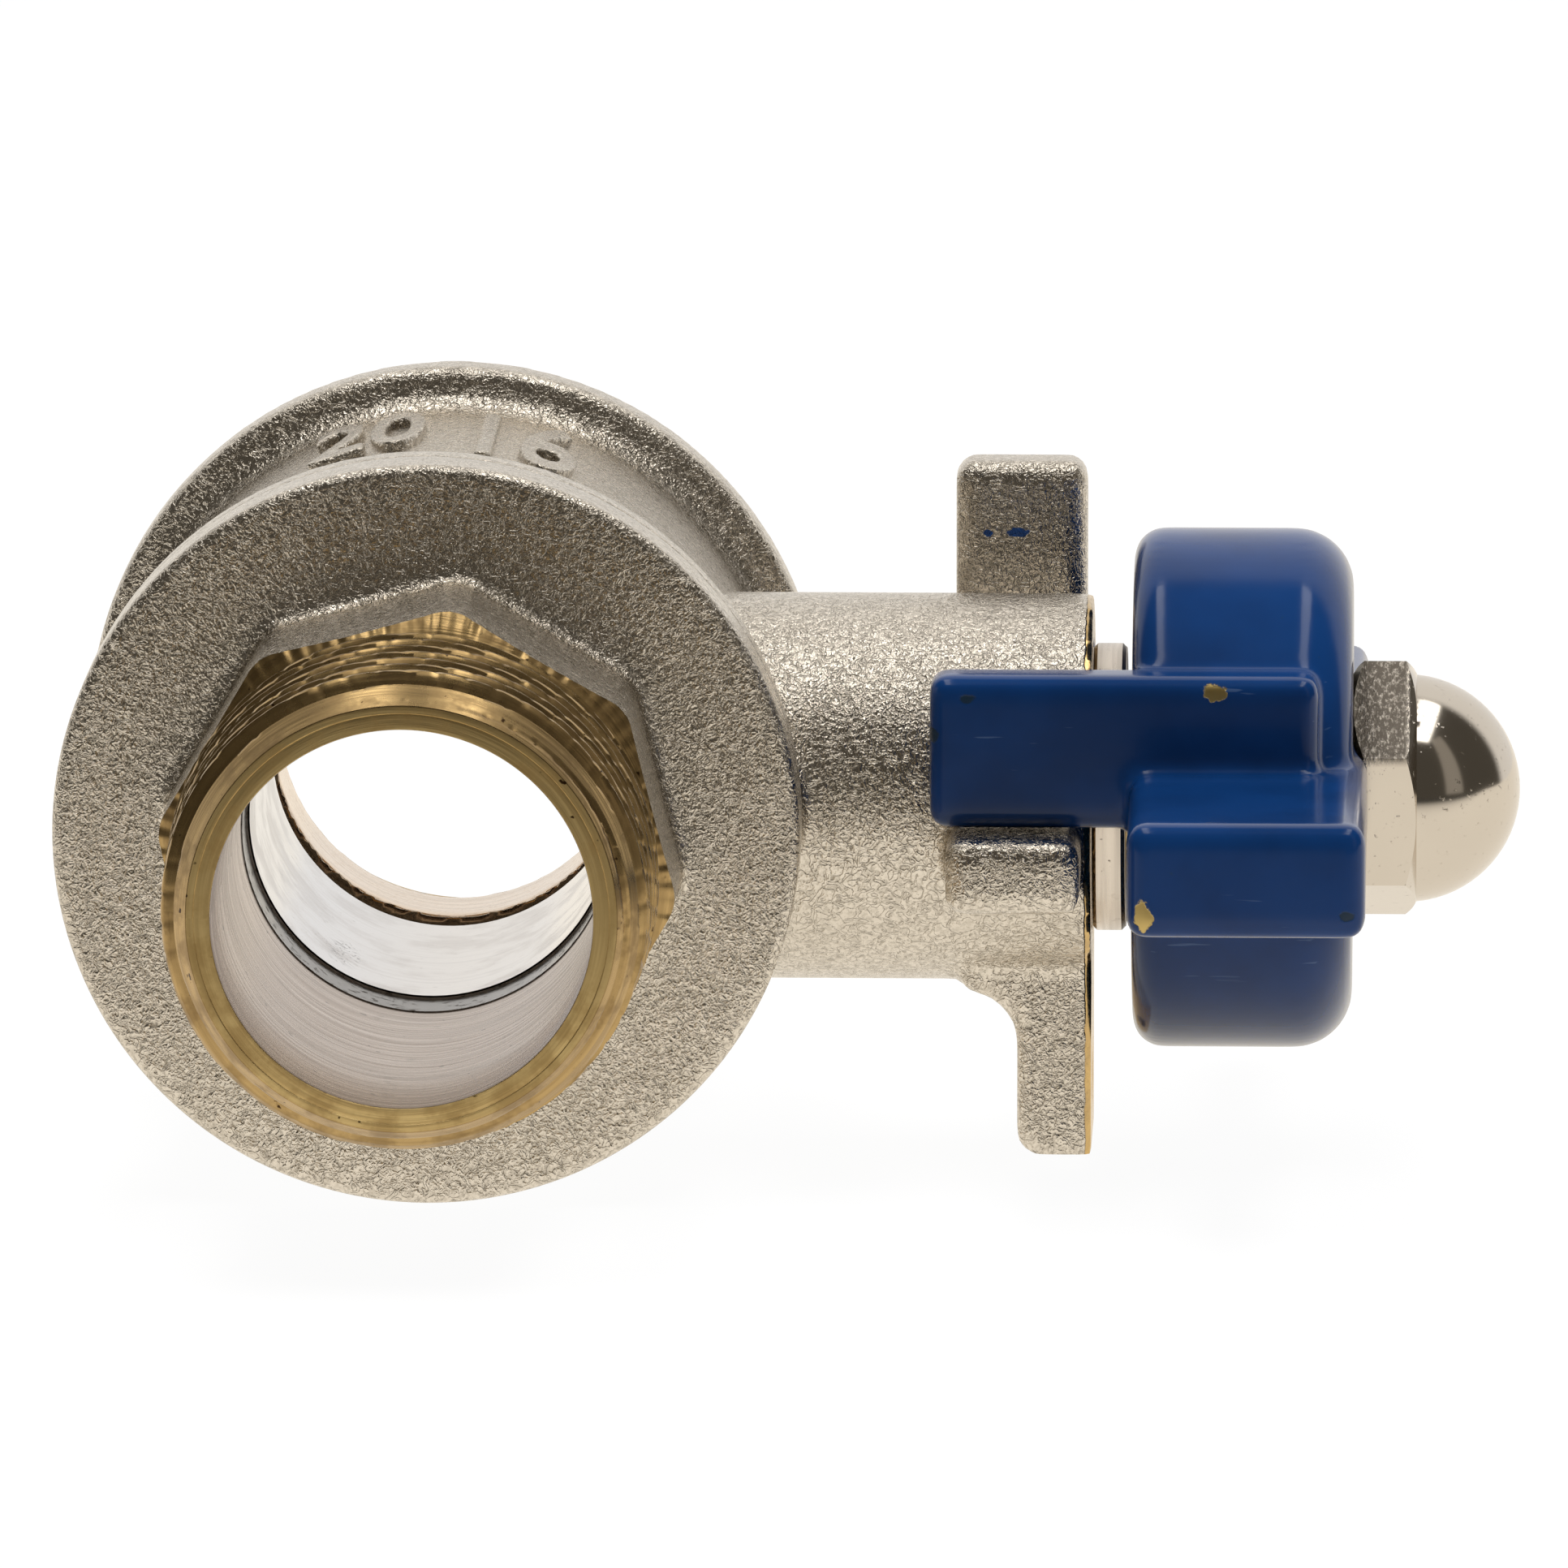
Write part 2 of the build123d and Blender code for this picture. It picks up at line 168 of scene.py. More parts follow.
def grainedNickel(name, areas=None):
    # plated forging: fine grain with narrow crooked valleys, or the areas machined afterwards
    material, tree, shader, place = newFinish(name, Metallic=1.0)
    look = nickelGrain
    grain = noise(tree, place, look["scale"], 2.0, 0.6, 0.8)
    worms = sums(tree, "ABSOLUTE", sums(tree, "SUBTRACT",
                                        noise(tree, place, look["wormScale"], 1.5, 0.5, 1.2), 0.5))
    ridge = stretch(tree, worms, 0.0, look["wormWidth"])  # 0 in the valleys
    height = sums(tree, "ADD", grain, times(tree, ridge, look["wormHeight"]))
    shade = sums(tree, "ADD", times(tree, stretch(tree, grain, 0.30, 0.62), 1 - look["wormShade"]),
                 times(tree, ridge, look["wormShade"]))
    cloud = stretch(tree, noise(tree, place, look["cloudScale"], 3.0), 0.3, 0.7)
    base = blend(tree, shade, look["valley"], look["color"])
    base = blend(tree, times(tree, cloud, look["cloudShare"]), base, look["cloud"])
    if areas:
        base, height = areas(tree, shader, place, base, height)
    tree.links.new(base, shader.inputs["Base Color"])
    polish = look["roughness"]
    tree.links.new(stretch(tree, shade, 0.1, 0.9, polish + 0.10, polish - 0.03),
                   shader.inputs["Roughness"])
    tree.links.new(bump(tree, height, look["strength"], look["depth"]), shader.inputs["Normal"])
    return material


# where the body is machined, in metres along the stem, along the flow or from the flow axis
machining = {
    "neckEnd": 0.03664, "rearFace": 0.03385, "inside": 0.0174, "pocketBack": 0.01595,
    "socket": 0.0148, "socketFront": 0.02235, "way": 0.0106, "wayBack": 0.02245,
    "edge": 0.00004, "wander": 0.0003, "ringScale": 2200.0, "ringHeight": 0.12, "ringShare": 0.30,
    "brass": (0.66, 0.46, 0.20), "pocketShade": (0.50, 0.37, 0.24), "wayColor": (0.86, 0.72, 0.58),
    "ringColor": (0.30, 0.22, 0.14),
    "paint": [((0.03086, 0.0088, 0.01314), (0.00028, 0.0012, 0.00022)),
              ((0.03257, 0.0088, 0.01319), (0.00062, 0.0012, 0.00026))],
    "paintColor": (0.012, 0.055, 0.20),
}


def machinedAreas(tree, shader, place, base, height):
    # bare brass at both ends, the seat pockets and the rear way, the pockets darker brown as
    # painted shade, and blue overspray on a lug
    parts = apart(tree, place)
    wander = times(tree, sums(tree, "SUBTRACT", noise(tree, place, 900.0, 3.0), 0.5),
                   machining["wander"])
    radius = fromFlow(tree, place)
    rings = noise(tree, turnedPlace(tree, place, machining["ringScale"], 0.8), 1.0, 2.0, 0.6)

    def beyond(value, key):
        edge = machining[key]
        return stretch(tree, value, edge - machining["edge"], edge + machining["edge"])

    def below(value, key):
        edge = machining[key]
        return stretch(tree, value, edge + machining["edge"], edge - machining["edge"])

    ends = sums(tree, "MAXIMUM", beyond(sums(tree, "ADD", parts[0], wander), "neckEnd"),
                beyond(sums(tree, "ADD", parts[1], wander), "rearFace"))
    pockets = times(tree, below(radius, "inside"), below(parts[0], "inside"),
                    below(parts[1], "pocketBack"))
    socket = times(tree, below(radius, "socket"), beyond(parts[1], "socketFront"))
    way = times(tree, below(radius, "way"), beyond(parts[1], "pocketBack"),
                below(parts[1], "wayBack"))
    machined = sums(tree, "MAXIMUM", sums(tree, "MAXIMUM", ends, pockets),
                    sums(tree, "MAXIMUM", socket, way))
    paint = spots(tree, place, noise(tree, place, 2500.0, 2.0), machining["paint"], 0.08, 1.2)
    # painted shade: the pockets inside the body in a darker brown
    cut = blend(tree, pockets, machining["brass"], machining["pocketShade"])
    cut = blend(tree, way, cut, machining["wayColor"])
    cut = blend(tree, times(tree, stretch(tree, rings, 0.35, 0.7), machining["ringShare"]),
                cut, machining["ringColor"])
    base = blend(tree, machined, base, cut)
    base = blend(tree, paint, base, machining["paintColor"])
    height = sums(tree, "ADD", times(tree, height, sums(tree, "SUBTRACT", 1.0, machined)),
                  times(tree, rings, machined, machining["ringHeight"]))
    tree.links.new(sums(tree, "SUBTRACT", 1.0, times(tree, paint, 0.8)), shader.inputs["Metallic"])
    return base, height


brassTurning = {"ringScale": 2600.0, "grooveDepth": 0.00003, "speck": (0.06, 0.03, 0.012)}


def turnedBrass(name, color, dark, roughness, tarnish, grooves):
    # bare brass with turning grooves round the flow axis, tarnish and a few black specks
    material, tree, shader, place = newFinish(name, Metallic=1.0)
    scale = brassTurning["ringScale"]
    rings = noise(tree, turnedPlace(tree, place, scale, 1.2), 1.0, 2.0, 0.6)
    fine = noise(tree, turnedPlace(tree, place, scale * 3, 3.0), 1.0, 1.0, 0.6)
    stain = stretch(tree, noise(tree, place, 420.0, 4.0, 0.65), 0.42, 0.68)
    specks = stretch(tree, noise(tree, place, 1500.0, 2.0), 0.70, 0.76)
    base = blend(tree, times(tree, stain, tarnish), color, dark)
    base = blend(tree, times(tree, stretch(tree, rings, 0.35, 0.65), 0.42), base, dark)
    base = blend(tree, specks, base, brassTurning["speck"])
    tree.links.new(base, shader.inputs["Base Color"])
    tree.links.new(stretch(tree, stain, 0.0, 1.0, roughness, roughness + 0.14),
                   shader.inputs["Roughness"])
    height = sums(tree, "ADD", rings, times(tree, fine, 0.35))
    tree.links.new(bump(tree, height, grooves, brassTurning["grooveDepth"]),
                   shader.inputs["Normal"])
    return material


nickelTurning = {"ringScale": 2200.0, "depth": 0.00002, "dirt": (0.20, 0.16, 0.12),
                 "speck": (0.05, 0.035, 0.025)}


def turnedNickel(name, color, roughness, axis="flow"):
    material, tree, shader, place = newFinish(name, Metallic=1.0)
    turned = place
    if axis == "stem":  # turned about +X: the axes are swapped before the rings are worked out
        parts = apart(tree, place)
        turned = put(tree, "CombineXYZ", {0: parts[1], 1: parts[0], 2: parts[2]}).outputs[0]
    scale = nickelTurning["ringScale"]
    rings = noise(tree, turnedPlace(tree, turned, scale, 0.8), 1.0, 2.0, 0.6)
    wide = noise(tree, turnedPlace(tree, turned, scale / 6, 0.5), 1.0, 2.0, 0.6)
    dirt = stretch(tree, noise(tree, place, 500.0, 4.0, 0.7), 0.58, 0.75)
    specks = stretch(tree, noise(tree, place, 1300.0, 2.0), 0.72, 0.76)
    base = blend(tree, times(tree, stretch(tree, rings, 0.3, 0.7), 0.35), color,
                 tuple(0.62 * channel for channel in color))
    base = blend(tree, times(tree, stretch(tree, wide, 0.5, 0.75), 0.30), base,
                 tuple(0.55 * channel for channel in color))
    base = blend(tree, times(tree, dirt, 0.45), base, nickelTurning["dirt"])
    base = blend(tree, specks, base, nickelTurning["speck"])
    tree.links.new(base, shader.inputs["Base Color"])
    tree.links.new(stretch(tree, rings, 0.2, 0.8, roughness - 0.04, roughness + 0.08),
                   shader.inputs["Roughness"])
    tree.links.new(bump(tree, sums(tree, "ADD", rings, wide), 0.5, nickelTurning["depth"]),
                   shader.inputs["Normal"])
    return material


ballLook = {
    # the end faces' whitish colours are painted light bounced down the bore
    "bright": (0.78, 0.75, 0.72), "paintedCoolReflection": (0.71, 0.73, 0.78), "scale": (0.72, 0.70, 0.66),
    "hazeColor": (0.66, 0.62, 0.60), "brushColor": (0.55, 0.52, 0.50), "scuff": (0.35, 0.33, 0.33),
    "crackColor": (0.16, 0.15, 0.16), "paintedBounceGap": (0.10, 0.09, 0.08), "rim": (0.20, 0.14, 0.06),
    "wayEdge": 0.01028, "edgeWidth": 0.00022, "soft": 0.00008,
    "crack": ((-0.0052, -0.0060, -0.0088), (0.0011, 0.0030, 0.0011)),
}


def chromedBall():
    # hard chrome, brushed round the way, with whitish speckled end faces that are painted light for
    # the light bounced down the bore, and a few cracks
    material, tree, shader, place = newFinish("chromed ball")
    parts = apart(tree, place)
    brush = noise(tree, turnedPlace(tree, place, 1800.0, 0.6), 1.0, 3.0, 0.6)
    haze = stretch(tree, noise(tree, place, 260.0, 4.0, 0.6), 0.40, 0.65)
    # painted reflection: the chrome tinted bluer towards -x
    paintedCoolReflection = stretch(tree, parts[0], 0.002, -0.008)
    scuffs = stretch(tree, noise(tree, place, 2400.0, 3.0, 0.7), 0.66, 0.71)
    lines = sums(tree, "ABSOLUTE",
                 sums(tree, "SUBTRACT", noise(tree, place, 700.0, 3.0, 0.6, 1.0), 0.5))
    wobble = noise(tree, place, 900.0, 2.0)
    crack = times(tree, spots(tree, place, wobble, [ballLook["crack"]], 0.3, 1.5),
                  stretch(tree, lines, 0.020, 0.006))
    radius = fromFlow(tree, place)
    edge = ballLook["wayEdge"]
    faceStart = edge + ballLook["edgeWidth"]
    face = stretch(tree, radius, faceStart, faceStart + ballLook["soft"])
    ends = times(tree, face, stretch(tree, sums(tree, "ABSOLUTE", parts[1]), 0.0098, 0.0102))
    rim = times(tree, stretch(tree, radius, edge - ballLook["soft"] / 2, edge),
                sums(tree, "SUBTRACT", 1.0, face))
    # painted light: whitish specks on the end faces, for light bounced down the bore
    paintedBounceSpecks = stretch(tree, noise(tree, place, 1500.0, 3.0, 0.7), 0.52, 0.60)
    base = blend(tree, times(tree, paintedCoolReflection, 0.8), ballLook["bright"], ballLook["paintedCoolReflection"])
    base = blend(tree, times(tree, haze, 0.25), base, ballLook["hazeColor"])
    base = blend(tree, times(tree, stretch(tree, brush, 0.5, 0.7), 0.25), base,
                 ballLook["brushColor"])
    base = blend(tree, times(tree, scuffs, 0.5), base, ballLook["scuff"])
    base = blend(tree, crack, base, ballLook["crackColor"])
    base = blend(tree, ends, base, blend(tree, paintedBounceSpecks, ballLook["scale"], ballLook["paintedBounceGap"]))
    base = blend(tree, rim, base, ballLook["rim"])
    tree.links.new(base, shader.inputs["Base Color"])
    tree.links.new(sums(tree, "SUBTRACT", 1.0, times(tree, ends, 0.8)), shader.inputs["Metallic"])
    polish = stretch(tree, haze, 0.0, 1.0, 0.14, 0.26)
    tree.links.new(sums(tree, "MAXIMUM", polish, times(tree, ends, 0.6)),
                   shader.inputs["Roughness"])
    height = sums(tree, "ADD", times(tree, brush, 0.5),
                  sums(tree, "ADD", scuffs, times(tree, paintedBounceSpecks, ends)))
    tree.links.new(bump(tree, height, 0.3, 0.00002), shader.inputs["Normal"])
    return material


seatLook = {"color": (0.80, 0.79, 0.76), "cloud": (0.66, 0.63, 0.58), "fleck": (0.22, 0.18, 0.13)}


def seatPlastic():
    material, tree, shader, place = newFinish("seat plastic", Specular_IOR_Level=0.6)
    flecks = stretch(tree, noise(tree, place, 1800.0, 3.0, 0.7), 0.55, 0.66)
    cloud = noise(tree, place, 300.0, 2.0)
    base = blend(tree, cloud, seatLook["color"], seatLook["cloud"])
    base = blend(tree, times(tree, flecks, 0.7), base, seatLook["fleck"])
    tree.links.new(base, shader.inputs["Base Color"])
    tree.links.new(stretch(tree, flecks, 0.0, 1.0, 0.16, 0.5), shader.inputs["Roughness"])
    tree.links.new(bump(tree, flecks, 0.2, 0.00002), shader.inputs["Normal"])
    return material


enamel = {
    "color": (0.0035, 0.031, 0.124), "deep": (0.003, 0.025, 0.100), "bare": (0.60, 0.45, 0.17),
    "pit": (0.012, 0.035, 0.055), "scratch": (0.10, 0.16, 0.28), "stain": (0.010, 0.022, 0.030),
    "roughness": 0.17, "bareRoughness": 0.45, "depth": 0.00012,
    "edge": 0.10, "stainEdge": 0.2, "raggedness": 1.6,
    "chips": [((0.04401, -0.01535, 0.00787), (0.00062, 0.0012, 0.00050)),
              ((0.04025, -0.0330, -0.0018), (0.00050, 0.0012, 0.00078))],
    "stains": [((0.03019, -0.01539, 0.0074), (0.00040, 0.0012, 0.00030)),
               ((0.02828, -0.01503, 0.00536), (0.00034, 0.0012, 0.00040)),
               ((0.05151, -0.03297, -0.00182), (0.00040, 0.0012, 0.00030))],
}


def blueEnamel():
    material, tree, shader, place = newFinish("blue enamel", Specular_IOR_Level=0.23,
                                              Coat_Weight=0.12, Coat_Roughness=0.05)
    cloud = stretch(tree, noise(tree, place, 160.0, 3.0), 0.35, 0.65)
    peel = noise(tree, place, 380.0, 2.0)
    base = blend(tree, cloud, enamel["color"], enamel["deep"])
    wobble = noise(tree, place, 1500.0, 3.0, 0.6)
    chipped = spots(tree, place, wobble, enamel["chips"], enamel["edge"], enamel["raggedness"])
    stained = spots(tree, place, wobble, enamel["stains"], enamel["stainEdge"],
                    enamel["raggedness"])
    scratchPlace = put(tree, "Mapping", {"Vector": place, "Rotation": (0.0, 0.5, 0.0),
                                         "Scale": (220.0, 900.0, 2600.0)}).outputs[0]
    scratches = times(tree, stretch(tree, noise(tree, scratchPlace, 1.0, 2.0), 0.70, 0.73),
                      stretch(tree, noise(tree, place, 90.0, 1.0), 0.52, 0.60))
    pits = stretch(tree, noise(tree, place, 700.0, 2.0), 0.76, 0.79)
    base = blend(tree, times(tree, pits, 0.8), base, enamel["pit"])
    base = blend(tree, times(tree, scratches, 0.35), base, enamel["scratch"])
    base = blend(tree, times(tree, stained, 0.85), base, enamel["stain"])
    base = blend(tree, chipped, base, enamel["bare"])
    tree.links.new(base, shader.inputs["Base Color"])
    tree.links.new(chipped, shader.inputs["Metallic"])
    tree.links.new(stretch(tree, chipped, 0.0, 1.0, enamel["roughness"], enamel["bareRoughness"]),
                   shader.inputs["Roughness"])
    skin = sums(tree, "SUBTRACT", times(tree, peel, 0.30), times(tree, stained, 0.4))
    height = sums(tree, "SUBTRACT", skin, chipped)
    tree.links.new(bump(tree, height, 0.4, enamel["depth"]), shader.inputs["Normal"])
    return material


# the top flats' near-black colour is painted shade
nutLook = {"color": (0.68, 0.62, 0.54), "worn": (0.36, 0.31, 0.25), "forged": (0.09, 0.077, 0.062),
           "roughness": 0.12, "wornRoughness": 0.24, "forgedRoughness": 0.18, "depth": 0.00008,
           "forgedFrom": 0.0026, "forgedTo": 0.0548}


def polishedNut():
    # the flats that face up are darkened with painted shade and made rougher, the rest is polished
    material, tree, shader, place = newFinish("polished nickel nut", Metallic=1.0)
    parts = apart(tree, place)
    wear = stretch(tree, noise(tree, place, 2600.0, 3.0, 0.6), 0.62, 0.74)
    forged = put(tree, "Mapping", {"Vector": place, "Scale": (4800.0, 2400.0, 2400.0)}).outputs[0]
    sparkle = noise(tree, forged, 1.0, 3.0, 0.75)
    cloud = noise(tree, place, 350.0, 2.0)
    low, end = nutLook["forgedFrom"], nutLook["forgedTo"]
    # the flats that face up, where the painted shade goes
    rough = times(tree, stretch(tree, parts[2], low - 0.0004, low + 0.0004),
                  stretch(tree, parts[0], end + 0.0002, end - 0.0002))
    base = blend(tree, cloud, nutLook["color"],
                 tuple(0.94 * channel for channel in nutLook["color"]))
    base = blend(tree, times(tree, wear, 0.35), base, nutLook["worn"])
    # painted shade: the top flats darkened nearly to black, with specks
    base = blend(tree, times(tree, rough, stretch(tree, sparkle, 0.48, 0.72, 0.95, 0.35)), base,
                 nutLook["forged"])
    tree.links.new(base, shader.inputs["Base Color"])
    polish = stretch(tree, wear, 0.0, 1.0, nutLook["roughness"], nutLook["wornRoughness"])
    tree.links.new(sums(tree, "ADD", polish, times(tree, rough, nutLook["forgedRoughness"])),
                   shader.inputs["Roughness"])
    height = sums(tree, "ADD", times(tree, wear, 0.15), times(tree, sparkle, rough))
    tree.links.new(bump(tree, height, 0.6, nutLook["depth"]), shader.inputs["Normal"])
    return material


def sealRubber():
    material, tree, shader, place = newFinish("seal rubber")
    dust = stretch(tree, noise(tree, place, 1500.0, 3.0), 0.5, 0.7)
    tree.links.new(blend(tree, times(tree, dust, 0.4), (0.02, 0.02, 0.02), (0.08, 0.08, 0.075)),
                   shader.inputs["Base Color"])
    tree.links.new(stretch(tree, dust, 0.0, 1.0, 0.5, 0.7), shader.inputs["Roughness"])
    tree.links.new(bump(tree, dust, 0.2, 0.00002), shader.inputs["Normal"])
    return material


finishes = {
    "nickel_casting": grainedNickel("grained nickel body", machinedAreas),
    "nickel_machined_end": grainedNickel("grained nickel end"),
    "seal_rubber": sealRubber(),
    "seat_ptfe": seatPlastic(),
    "ball_chrome": chromedBall(),
    "stem_brass": turnedBrass("stem brass", (0.66, 0.47, 0.20), (0.28, 0.17, 0.06),
                              0.24, 0.35, 0.5),
    "gland_nickel": turnedNickel("turned gland nickel", (0.74, 0.67, 0.59), 0.26, axis="stem"),
    "handle_blue_enamel": blueEnamel(),
    "washer_steel": turnedNickel("washer steel", (0.60, 0.58, 0.55), 0.35, axis="stem"),
    "nut_nickel": polishedNut(),
    "thread_brass": turnedBrass("thread brass", (0.52, 0.36, 0.16), (0.22, 0.14, 0.06),
                                0.26, 0.55, 0.5),
    # the end face's brass is lighter than the thread's: fresh-cut metal, and painted sheen for the
    # floor's reflection
    "ring_brass": turnedBrass("machined end brass with painted sheen", (0.74, 0.56, 0.26), (0.42, 0.28, 0.11),
                              0.46, 0.45, 1.0),
    "socket_brass": turnedBrass("socket brass", (0.72, 0.53, 0.25), (0.36, 0.23, 0.09),
                                0.28, 0.40, 0.8),
    "bore_nickel": turnedNickel("brushed bore", (0.60, 0.505, 0.44), 0.26),
    # painted shade: the adapter's pocket step in a darker brown
    "shade_brown": turnedNickel("step in painted shade", (0.50, 0.37, 0.24), 0.5),
}
slotOf = {row["node"]: row["material_slot"] for row in frame["record"]["subparts"]}
for name, piece in nodes.items():
    piece.data.materials.clear()
    piece.data.materials.append(finishes[slotOf[name]])
print("finishes made")


sharpAngles = {"turned": 32.0, "cast": 50.0}  # degrees between faces that meet in a sharp edge


def linked(name, mesh):
    piece = bpy.data.objects.new(name, mesh)
    bpy.context.scene.collection.objects.link(piece)
    return piece


def gridMesh(name, points, finishList, rowFinish):
    # a closed surface from points[row, column]: rows close on themselves and so do columns
    rows, around = points.shape[:2]
    index = np.arange(rows * around).reshape(rows, around)
    ahead, beside = np.roll(index, -1, axis=0), np.roll(index, -1, axis=1)
    corner = np.roll(ahead, -1, axis=1)
    faces = np.stack([index, beside, corner, ahead], axis=-1).reshape(-1, 4)
    flat = points.reshape(-1, 3)
    a, b, c = flat[faces[:, 0]], flat[faces[:, 1]], flat[faces[:, 2]]
    if np.einsum("ij,ij->", a, np.cross(b, c)) < 0:  # inside out when the signed volume is negative
        faces = faces[:, ::-1]
    mesh = bpy.data.meshes.new(name)
    mesh.from_pydata(flat.tolist(), [], faces.tolist())
    for finish in finishList:
        mesh.materials.append(finish)
    mesh.polygons.foreach_set("material_index",
                              np.repeat(np.array(rowFinish, dtype=np.int32), around))
    mesh.shade_smooth()
    mesh.set_sharp_from_angle(angle=math.radians(sharpAngles["turned"]))
    return linked(name, mesh)


def turnedRing(name, rows, angle, finishList):
    # rows of (distance along the flow, radius, finish): each becomes a circle about the flow axis
    out = np.array([np.broadcast_to(row[0], angle.shape) for row in rows])
    radius = np.array([np.broadcast_to(row[1], angle.shape) for row in rows])
    points = np.stack([radius * np.cos(angle), out, radius * np.sin(angle)], axis=-1) * mm
    return gridMesh(name, points, finishList, [row[2] for row in rows])


adapterShape = {
    "around": 600, "octagonTurn": -8.0, "octagonFlat": 13.5, "octagonCorner": 2.4,
    "discRadius": 20.9, "discFront": 18.39, "discEdge": 0.6, "joint": 14.59, "jointEdge": 0.22,
    "bossFront": 29.59, "bossRoot": 0.85, "coneRadius": 12.9, "coneSlope": 1.45,
    "reliefRadius": 12.4, "reliefFront": 31.29, "face": 46.09, "way": 10.45,
    "pocketBack": 15.77, "pocket": 14.82, "spigot": 17.18, "spigotEnd": 8.19,
    "pitch": 1.814, "crestFront": 13.30, "taper": 1 / 32, "threadDepth": 1.16, "crestShare": 0.20,
    "notches": 49, "notchDepth": 0.07, "leadRadius": 11.8, "leadSlope": 0.58,
    "flankShare": 0.62, "crestStart": 2.7, "rowsPerPitch": 14, "runInSlope": 1.3,
}


def octagonRadius(angle, shape):
    # polar radius of an octagon with rounded corners: flat / cos(angle) along a flat,
    # and the far side of a small circle about the corner's centre along a corner
    flat, corner = shape["octagonFlat"], shape["octagonCorner"]
    eighth = math.radians(45.0)
    half = eighth / 2
    fromFlat = np.mod(angle - math.radians(shape["octagonTurn"]), eighth) - half
    centre = (flat - corner) / math.cos(half)
    fromCorner = half - np.abs(fromFlat)
    switch = math.atan((flat - corner) * math.tan(half) / flat)
    arc = centre * np.cos(fromCorner) + np.sqrt(
        np.maximum(corner ** 2 - (centre * np.sin(fromCorner)) ** 2, 0.0))
    return np.where(np.abs(fromFlat) < switch, flat / np.cos(fromFlat), arc)


def threadRadius(out, angle, shape):
    # crest minus depth times a flank that rises and falls once a pitch; the phase runs with the
    # angle, which makes a helix; the crest tapers, and narrow dips cut across it round the turn
    phase = np.mod(out / shape["pitch"] - angle / (2 * math.pi), 1.0)
    fromCrest = np.abs(2 * phase - 1)
    flank = np.clip((fromCrest - shape["crestShare"]) / shape["flankShare"], 0.0, 1.0)
    crest = shape["crestFront"] + shape["taper"] * (shape["face"] - shape["crestStart"] - out)
    wave = np.maximum(np.cos(shape["notches"] * angle + 2.6 * out), 0.0) ** 3
    uneven = 0.6 + 0.4 * np.sin(3 * angle + 1.7 * out) * np.sin(7 * angle - 0.9 * out)
    return crest - shape["notchDepth"] * uneven * wave - shape["threadDepth"] * flank


